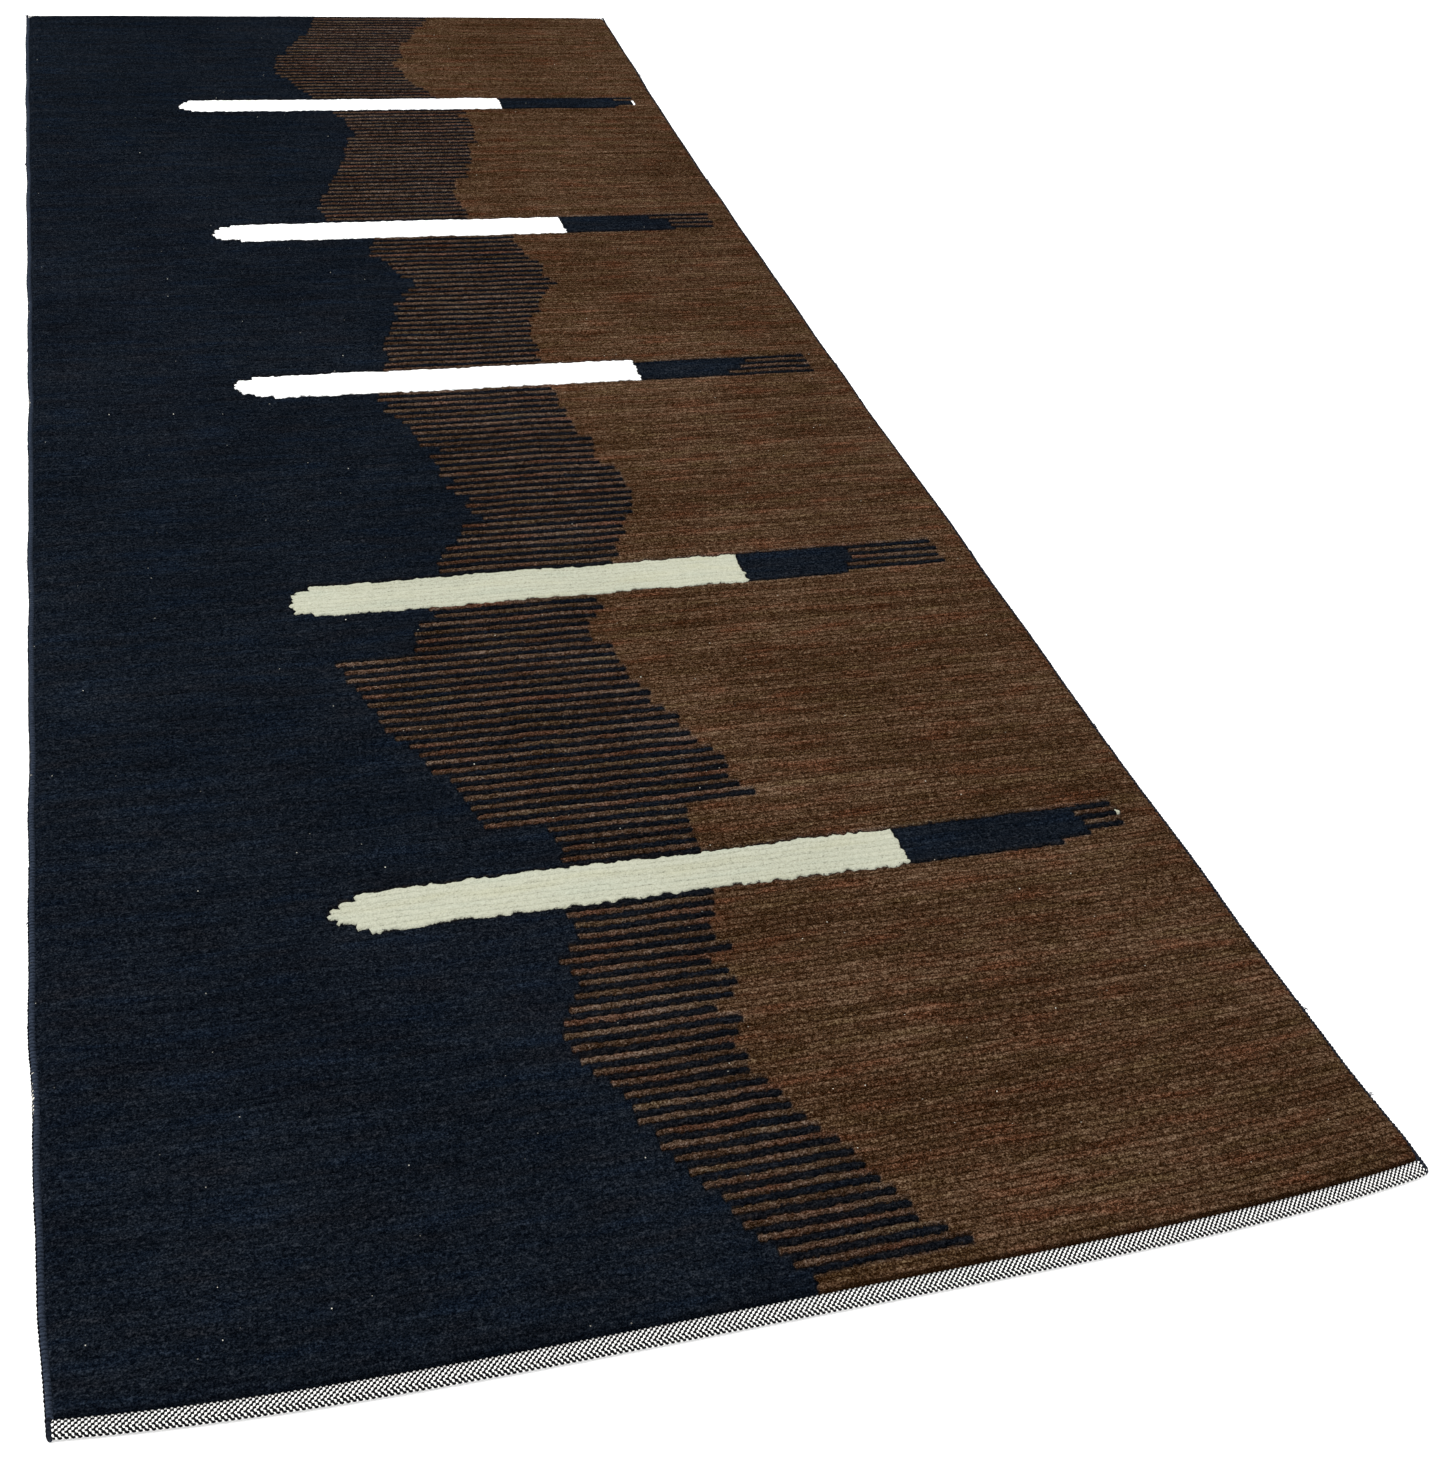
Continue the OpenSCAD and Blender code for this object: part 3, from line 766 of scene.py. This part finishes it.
def cloth_sheet():
    """The closed ground cloth, with a face for every row and every second knot."""
    wide = knots // 2
    bm = bmesh.new()
    bmesh.ops.create_grid(bm, x_segments=wide, y_segments=rows, size=0.5)
    weave = bm.verts.layers.float_vector.new("weave")
    dye = bm.loops.layers.float_color.new("dye")
    for v in bm.verts:
        knot, row = round((v.co.x + 0.5) * wide) * 2, round((v.co.y + 0.5) * rows)
        y = float(read_table(row_marks, row))
        x = cloth_x0 + (v.co.x + 0.5) * (width_at(y) - 2 * cloth_x0)
        v[weave] = (knot, row, 0)
        px, py = place(x, y)
        v.co = (px * MM, py * MM, 0.05 * MM)
    for f in bm.faces:
        knot = min(v[weave].x for v in f.verts)
        row = min(v[weave].y for v in f.verts)
        for loop in f.loops:
            loop[dye] = dyes[chart_colours[int(row), int(knot)]]
    rim = [e for e in bm.edges if e.is_boundary]
    wall = bmesh.ops.extrude_edge_only(bm, edges=rim)["geom"]
    bmesh.ops.translate(bm, verts=[g for g in wall if isinstance(g, bmesh.types.BMVert)],
                        vec=(0, 0, (ground_top - 0.1) * MM))
    bmesh.ops.edgeloop_fill(bm, edges=[e for e in bm.edges if e.is_boundary])
    bmesh.ops.recalc_face_normals(bm, faces=bm.faces)
    return add_piece("ground_cloth_weave", bm, backing, ["ground_cloth"], False)


ground = cloth_sheet()
print("ground cloth", len(ground.data.polygons), "faces")

# %% [markdown]
# ## The woven ends
# Beyond the pile the warps go on as a plain weave: pale cotton warps over and under dark
# wefts. The end is then folded under. Here it is woven flat, on a sheet whose u runs
# along the warps, and bent round the fold afterwards, which is how the real one is made.
# The pale floats lean one way on top of the band and the other way at its fold.

# %% Yarn finishes


def yarn(name, light, dark, fibre=1.3, gloss=0.0):
    """Spun thread: two tones mixed by fine fibres."""
    f = Finish(name, 0.9, gloss)
    at = f.object_mm()
    fine = f.noise(at, fibre, 2.0, 0.8)
    f.colour(f.mix(0.5 + fine * 2.2, dark, light))
    f.relief(fine, 0.5, 0.6)
    return f.material


warp_yarn = yarn("warp cotton", (0.98, 0.97, 0.95), (0.86, 0.85, 0.82))
weft_yarn = yarn("weft wool", (0.008, 0.008, 0.009), (0.002, 0.002, 0.003))
hem_thread = yarn("hem thread", (0.05, 0.055, 0.07), (0.02, 0.022, 0.03), 1.3, 0.3)

# %% The section of a folded end
warp_pitch = 1.78
pick_pitch = 1.85
hem_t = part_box("near_end_band")[1].z / MM / 2
wrap_w = 3


def end_section():
    """The middle of the cloth, from under the pile round the fold: u, way in, height."""
    bend = [math.radians(90 + 15 * i) for i in range(13)]
    way = ([(band_w + 4, ground_top / 2), (band_w, 2.3), (band_w - 2.5, 1.5 * hem_t - 0.1)]
           + [(hem_t + hem_t / 2 * math.cos(a), hem_t + hem_t / 2 * math.sin(a)) for a in bend]
           + [(band_w - 3, hem_t / 2)])
    way = np.array(way)
    run = np.concatenate([[0], np.cumsum(np.hypot(*np.diff(way, axis=0).T))])
    u = np.arange(0, run[-1], 0.2)
    return u, np.interp(u, run, way[:, 0]), np.interp(u, run, way[:, 1])


section = end_section()
print("warps run", round(float(section[0][-1]), 1), "mm round the fold")

# %% Helper: bend a flat weave round the fold


def bend_round(co, near):
    """Points (across, u, height above the cloth) become points of the rug, in millimetres."""
    u, way, high_z = section
    slope_w, slope_z = np.gradient(way, u), np.gradient(high_z, u)
    x, at, lift = co.T
    size = np.hypot(np.interp(at, u, slope_w), np.interp(at, u, slope_z))
    way_in = np.interp(at, u, way) + lift * np.interp(at, u, slope_z) / size
    z = np.interp(at, u, high_z) - lift * np.interp(at, u, slope_w) / size
    px, py = place(x, near_y + way_in if near else far_y - way_in)
    return np.stack([px, py, z], axis=-1)


# %% Helper: many threads as one mesh


def threads(name, strands, radius, flatness, level, bend, finish, replaced):
    """A tube along each strand of (x, y, z, thickness), pressed flat and then bent."""
    curve = bpy.data.curves.new(name, "CURVE")
    curve.dimensions = "3D"
    curve.bevel_depth = radius
    curve.bevel_resolution = level
    curve.use_fill_caps = True
    for strand in strands:
        spline = curve.splines.new("POLY")
        spline.points.add(len(strand) - 1)
        at = np.array(strand, float)
        at[:, 2] /= flatness
        spline.points.foreach_set("radius", at[:, 3].copy())
        at[:, 3] = 1
        spline.points.foreach_set("co", at.ravel())
    rough = bpy.data.objects.new(name, curve)
    bpy.context.scene.collection.objects.link(rough)
    bpy.context.view_layer.update()
    mesh = bpy.data.meshes.new_from_object(rough.evaluated_get(bpy.context.evaluated_depsgraph_get()))
    bpy.data.objects.remove(rough)
    co = np.zeros(len(mesh.vertices) * 3)
    mesh.vertices.foreach_get("co", co)
    co = co.reshape(-1, 3) * (1, 1, flatness)
    mesh.vertices.foreach_set("co", (bend(co) * MM).ravel())
    mesh.update()
    piece = add_mesh(name, mesh, finish, replaced)
    print(name, len(strands), "threads,", sum(len(p.vertices) - 2 for p in mesh.polygons), "triangles")
    return piece


# %% The warps and wefts of both ends
lean = 0.42
picks = [1.2 + pick_pitch * j for j in range(11)]
last_top_pick = 6


def weave_end(near):
    """The strands of one end, still flat."""
    width = float(width_at(near_y if near else far_y))
    count = int((width - 1.5 * wrap_w) / warp_pitch)
    warps = [wrap_w + warp_pitch * (i + 0.5) for i in range(count)]
    over, under = [], []
    for i, x in enumerate(warps):
        strand = [(x, 0, 0, 0.6)]
        for j, u in enumerate(picks):
            up, on_top = (i + j) % 2 == 0, j <= last_top_pick
            at_x, at_u = x + chance.normal(0, 0.07), u + chance.normal(0, 0.05)
            if up:
                strand.append((at_x, at_u, 0.5, chance.normal(0.97 if on_top else 0.84, 0.06)))
            else:
                strand.append((at_x, at_u, -0.6, 0.5))
            strand.append((x + (-lean if up == on_top else lean), u + pick_pitch / 2, -0.12, 0.6))
        over.append(strand + [(x, picks[-1] + 1.6, -0.3, 0.6)])
    for j, u in enumerate(picks):
        under.append([(x, u + chance.normal(0, 0.05), -0.45 if (i + j) % 2 == 0 else 0.4, 1)
                      for i, x in enumerate(warps)])
    return over, under


for end in ("near", "far"):
    near = end == "near"
    over, under = weave_end(near)
    threads(f"{end}_warps", over, 0.92, 0.55, 1, lambda co: bend_round(co, near), warp_yarn,
            [f"{end}_end_band"])
    threads(f"{end}_wefts", under, 0.88, 0.75, 0, lambda co: bend_round(co, near), weft_yarn,
            [f"{end}_end_band"])

# %% [markdown]
# ## The fold under each end
# Between the threads lies the doubled cloth itself. Its section is drawn once, extruded
# along the end in short steps, and bent with the rug.

# %% Hem folds


def hem_cloth():
    """Plain weave seen from close by, in checks of one thread by one thread."""
    f = Finish("hem cloth", 0.95)
    at = f.object_mm()
    x, y, _ = f.split(at)
    check = ((x * (1 / warp_pitch)).floor() + (y * (1 / pick_pitch)).floor()) * 0.5
    thread = check.fraction() > 0.25
    f.colour(f.mix(thread * (1 - f.noise(at, 1.0) * 0.6), (0.006, 0.006, 0.007), (0.8, 0.79, 0.74)))
    f.relief(thread, 0.4, 0.6)
    return f.material


under_cloth = hem_cloth()


def hem_fold(near):
    """The doubled cloth of one end, without its threads."""
    edge_y, step = (near_y, 1) if near else (far_y, -1)
    profile = [(band_w - 2.5, 0.05), (5.5, 0.05), (4.2, 0.5), (3.2, 1.5), (2.2, 2.0), (1.9, 2.5),
               (2.2, 3.0), (3.0, 3.3), (band_w - 3.5, 3.3), (band_w - 0.2, 1.8), (band_w - 0.2, 1.3),
               (band_w - 2.5, 1.8)]
    reach = float(width_at(edge_y)) - 2 * wrap_w + 1
    bm = bmesh.new()
    face = bm.faces.new([bm.verts.new((0, d * step * MM, z * MM)) for d, z in profile])
    steps = 40
    for i in range(steps):
        made = bmesh.ops.extrude_face_region(bm, geom=[face], use_keep_orig=i == 0)["geom"]
        face = next(g for g in made if isinstance(g, bmesh.types.BMFace))
        bmesh.ops.translate(bm, verts=face.verts, vec=(reach / steps * MM, 0, 0))
    for v in bm.verts:
        px, py = place(wrap_w - 0.5 + v.co.x / MM, edge_y + v.co.y / MM)
        v.co.x, v.co.y = px * MM, py * MM
    bmesh.ops.recalc_face_normals(bm, faces=bm.faces)
    end = "near" if near else "far"
    return add_piece(f"{end}_hem", bm, under_cloth, [f"{end}_hem_fold"], False)


for near in (True, False):
    hem = hem_fold(near)
    print(hem.name, len(hem.data.polygons), "faces")

# %% [markdown]
# ## The overcast sides
# Wool is wound round a cord, turn against turn. A tube with a small rib for each turn
# gives that look, and sliding the ribs along as they go round makes them slant. The
# tube is a grid whose two long edges are brought together and merged.

# %% Wound wool


def wound_wool(name, light, dark):
    """Wool yarn laid side by side round a cord, with painted shade in the grooves between
    turns and on the side facing away from the pile. The wind attribute holds how far a point faces away
    from the pile, and how many turns come before it."""
    f = Finish(name, 0.9)
    at = f.object_mm()
    x, y, z = f.split(at)
    outward, turns, _ = f.split(f.attribute("wind"))
    strand = f.noise(f.join(x * 0.35, y * 1.9, z * 0.35), 1.0, 2.0)
    fibre = f.noise(at, 1.2, 2.0, 1.0)
    # Groove is 1 between two turns; it paints shade there in the colour and also dents the relief.
    groove = abs(turns.fraction() - 0.5) * 2
    tone = f.mix(0.75 + strand * 1.6 + fibre * 1.4 - groove * 0.55, dark, light)
    # Painted shade: the side of the winding that faces away from the pile, where it curls under towards
    # the floor, is painted near black.
    f.colour(f.mix(outward > 0.7, tone, (0.002, 0.002, 0.003)))
    f.relief(strand * 1.5 + fibre - groove, 0.6, 0.8)
    return f.material


# Painted light: the left side's winding is the same navy wool as the right side and the corners,
# painted lighter and bluer where it faces the light; the corner wool is that wool without the painted
# light.
lit_side_wool = wound_wool("left side wool with painted light", (0.042, 0.054, 0.08), (0.005, 0.008, 0.013))
corner_wool = wound_wool("corner wool", (0.022, 0.026, 0.036), (0.003, 0.004, 0.007))

# %% Helper: a wound tube
turn_pitch, turn_slant = 3.3, 0.3
tube_half_w, tube_half_h = 2.8, 2.3
tube_end_r = 2.4
bumps = chance.normal(0, 0.12, 97)


def wound_tube(name, y0, y1, left, centre, half_w, finish, replaced, rounded=None):
    """A ribbed tube along a side of the rug, from y0 to y1. rounded is an end that closes."""
    sides, per_turn, rib = 12, 3, 0.35
    tall = int(abs(y1 - y0) / turn_pitch * per_turn)
    bm = bmesh.new()
    bmesh.ops.create_grid(bm, x_segments=sides, y_segments=tall, size=0.5)
    wind = bm.verts.layers.float_vector.new("wind")
    for v in bm.verts:
        step = round((v.co.y + 0.5) * tall)
        y = y0 + (y1 - y0) * step / tall
        a = 2 * math.pi * (round((v.co.x + 0.5) * sides) % sides) / sides
        v[wind] = (-math.cos(a), step / per_turn + 0.5, 0)
        rise = rib * math.cos(2 * math.pi * step / per_turn) + bumps[step % len(bumps)]
        close = 1.0
        if rounded is not None:
            from_tip = min(1, abs(y - rounded) / tube_end_r)
            close = math.sqrt(max(0.08, 1 - (1 - from_tip) ** 2))
        slant = 0.0 if step in (0, tall) else turn_pitch * turn_slant * math.sin(a)
        dx = (half_w * close + rise) * math.cos(a)
        z = max(0.1, side_d / 2 + (tube_half_h * close + rise) * math.sin(a))
        px, py = place(centre + dx if left else float(width_at(y)) - centre - dx, y + slant)
        v.co = (px * MM, py * MM, z * MM)
    bmesh.ops.remove_doubles(bm, verts=bm.verts, dist=0.00001)
    bmesh.ops.holes_fill(bm, edges=[e for e in bm.edges if e.is_boundary])
    bmesh.ops.recalc_face_normals(bm, faces=bm.faces)
    return add_piece(name, bm, finish, replaced)


# The left side gets the wool with painted light, the right side the plain wool.
for side in ("left", "right"):
    wound = wound_tube(f"{side}_wound_side", pile_y0, pile_y1, side == "left", tube_half_w, tube_half_w,
                       lit_side_wool if side == "left" else corner_wool, [f"{side}_overcasting"])
    print(wound.name, len(wound.data.polygons), "faces")

# %% Corner wraps
wrap_half_w, wrap_lap = 1.9, 0.4
wrap_ends = (("near", near_y, pile_y0 + wrap_lap, near_y), ("far", pile_y1 - wrap_lap, far_y, far_y))
for side in ("left", "right"):
    for end, y0, y1, tip in wrap_ends:
        wrap = wound_tube(f"{end}_{side}_wrap", y0, y1, side == "left", wrap_half_w + 0.1, wrap_half_w,
                          corner_wool, [f"corner_wrap_{end}_{side}"], tip)
        print(wrap.name, len(wrap.data.polygons), "faces")

# %% [markdown]
# ### Loose ends
# A few ends of the winding yarn have worked out of the two sides. Each is a small tuft
# of three fibres, drawn as tubes that thin towards their tips.

# %% Loose ends
loose_wool = yarn("loose wool", (0.03, 0.035, 0.048), (0.006, 0.008, 0.012))
root_in = 1.5


def lay_out(co):
    """Points (across, along, height) become points of the rug, in millimetres."""
    return np.stack([*place(co[:, 0], co[:, 1]), co[:, 2]], axis=-1)


def loose_ends(side, tufts):
    """Tufts at (place along the rug, how far out they reach), in millimetres."""
    strands = []
    for y, reach in tufts:
        edge = root_in if side == "left" else float(width_at(y)) - root_in
        out = (-1 if side == "left" else 1) * (reach + root_in)
        for fibre in range(3):
            curl, rise = chance.uniform(-3, 3), chance.uniform(0.5, 2.5)
            strands.append([(edge + out * t, y + fibre - 1 + curl * t * t,
                             3 + rise * math.sin(math.pi * t) - 1.5 * t, 1 - 0.7 * t)
                            for t in (0, 0.25, 0.5, 0.75, 1)])
    threads(f"{side}_loose_ends", strands, 0.5, 1, 1, lay_out, loose_wool,
            [f"{side}_overcasting"])


loose_ends("left", [(2451, 4.5), (1979, 2.5), (1858, 2), (1330, 1.5), (905, 1.8), (420, 1.5)])
loose_ends("right", [(62, 4.5), (152, 4), (512, 2.2), (800, 2), (1210, 2.2), (1760, 2), (2180, 2)])

# %% [markdown]
# ## The cords and the hem stitches
# The cords run inside the winding and the stitches sit under the fold. Their packed
# shapes are right as they are, so they stay and only get a yarn finish.

# %% Cords and stitches
cord_cotton = yarn("cord cotton", (0.7, 0.67, 0.6), (0.45, 0.42, 0.36))
for node_name, finish in (("left_edge_cord", cord_cotton), ("right_edge_cord", cord_cotton),
                          ("near_hem_stitches", hem_thread), ("far_hem_stitches", hem_thread)):
    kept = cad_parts[node_name].data
    kept.materials.clear()
    kept.materials.append(finish)
    print(node_name, "finished with", finish.name)

# %% [markdown]
# ## The room
# A large pale floor and soft light from all round show the pile's colours without hard
# shadows. One broad lamp from the left gives the tufts a little relief.

# %% Floor
floor_half = 12
floor_mesh = bpy.data.meshes.new("floor")
bm = bmesh.new()
bmesh.ops.create_grid(bm, x_segments=1, y_segments=1, size=floor_half)
bm.to_mesh(floor_mesh)
bm.free()
floor = bpy.data.objects.new("floor", floor_mesh)
bpy.context.scene.collection.objects.link(floor)
floor_finish = Finish("floor", 0.95)
floor_finish.shader.inputs["Base Color"].default_value = (0.98, 0.98, 0.98, 1)
floor_finish.shader.inputs["Emission Color"].default_value = (1, 1, 1, 1)
floor_finish.shader.inputs["Emission Strength"].default_value = 0.15
floor_mesh.materials.append(floor_finish.material)
print("floor", 2 * floor_half, "m wide")

# %% Light
world = bpy.data.worlds.new("studio")
bpy.context.scene.world = world
world.use_nodes = True
world.node_tree.nodes["Background"].inputs["Color"].default_value = (1, 1, 1, 1)
world.node_tree.nodes["Background"].inputs["Strength"].default_value = 1.25

lamp_data = bpy.data.lights.new("softbox", "AREA")
lamp_data.shape = "RECTANGLE"
lamp_data.size, lamp_data.size_y = 3.0, 3.0
lamp_data.energy = 120
lamp = bpy.data.objects.new("softbox", lamp_data)
lamp.location = (-2.4, 0.0, 3.4)
lamp.rotation_euler = (0, math.radians(-35), 0)
bpy.context.scene.collection.objects.link(lamp)
bpy.context.scene.view_settings.view_transform = "Standard"
print("lamp of", lamp_data.energy, "W at", [round(v, 2) for v in lamp.location])
